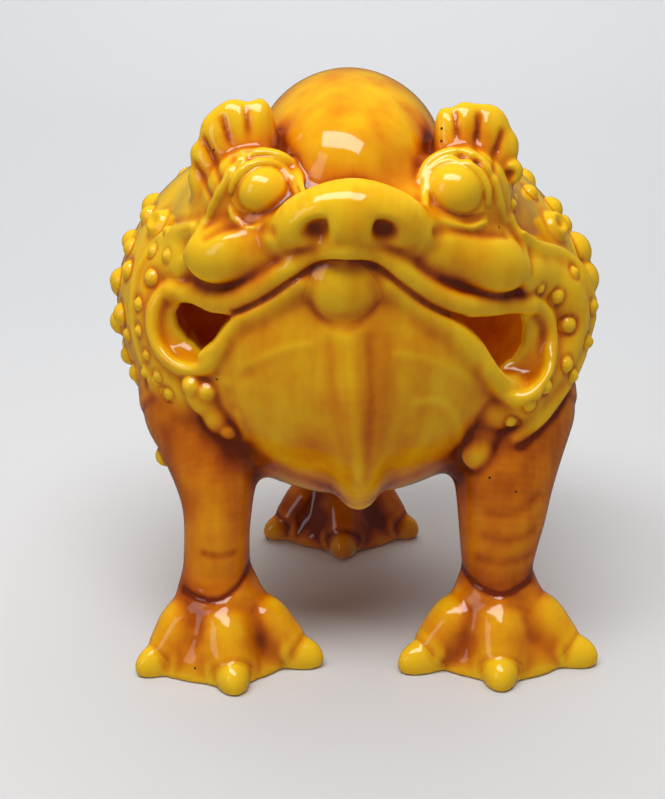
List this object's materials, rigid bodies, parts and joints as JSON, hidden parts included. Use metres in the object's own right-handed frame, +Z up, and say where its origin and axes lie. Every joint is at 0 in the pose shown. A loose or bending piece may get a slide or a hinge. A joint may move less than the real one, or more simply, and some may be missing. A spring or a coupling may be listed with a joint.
{
  "type": "glazed earthenware toad figure",
  "caption": "Standing three-legged toad figure in amber-glazed earthenware: hollow round body with a domed crown, wide pierced mouth corners, warty flanks and clawed feet.",
  "frame": {"origin": "on the surface that the feet stand on, under the middle of the bounding box", "axes": "+Z up, the toad faces -Y, +X is the toad's own left side"},
  "size_m": [0.1634, 0.1584, 0.1775],
  "materials": {
    "amber_glaze": "glossy lead glaze, darker where it pools",
    "ochre_glaze": "glossy lead glaze, streaked ochre",
    "yellow_glaze": "glossy lead glaze, thin and bright on raised forms"
  },
  "bodies": {
    "root": {"back_shell": "amber_glaze", "back_warts": "yellow_glaze", "belly_shell": "amber_glaze", "chin_boss": "ochre_glaze", "crown_dome": "amber_glaze", "head_shell": "amber_glaze", "hind_claws": "yellow_glaze", "hind_foot": "amber_glaze", "hind_leg": "amber_glaze", "left_brow_crest": "amber_glaze", "left_cheek": "amber_glaze", "left_collar": "amber_glaze", "left_collar_lobe": "amber_glaze", "left_collar_warts": "yellow_glaze", "left_eye": "yellow_glaze", "left_eyelid": "amber_glaze", "left_flank_warts": "yellow_glaze", "left_front_claws": "yellow_glaze", "left_front_foot": "amber_glaze", "left_front_leg": "amber_glaze", "left_mouth_corner": "amber_glaze", "lower_jaw": "ochre_glaze", "right_brow_crest": "amber_glaze", "right_cheek": "amber_glaze", "right_collar": "amber_glaze", "right_collar_lobe": "amber_glaze", "right_collar_warts": "yellow_glaze", "right_eye": "yellow_glaze", "right_eyelid": "amber_glaze", "right_flank_warts": "yellow_glaze", "right_front_claws": "yellow_glaze", "right_front_foot": "amber_glaze", "right_front_leg": "amber_glaze", "right_mouth_corner": "amber_glaze", "snout": "amber_glaze", "upper_lip": "amber_glaze"}
  },
  "joints": []
}
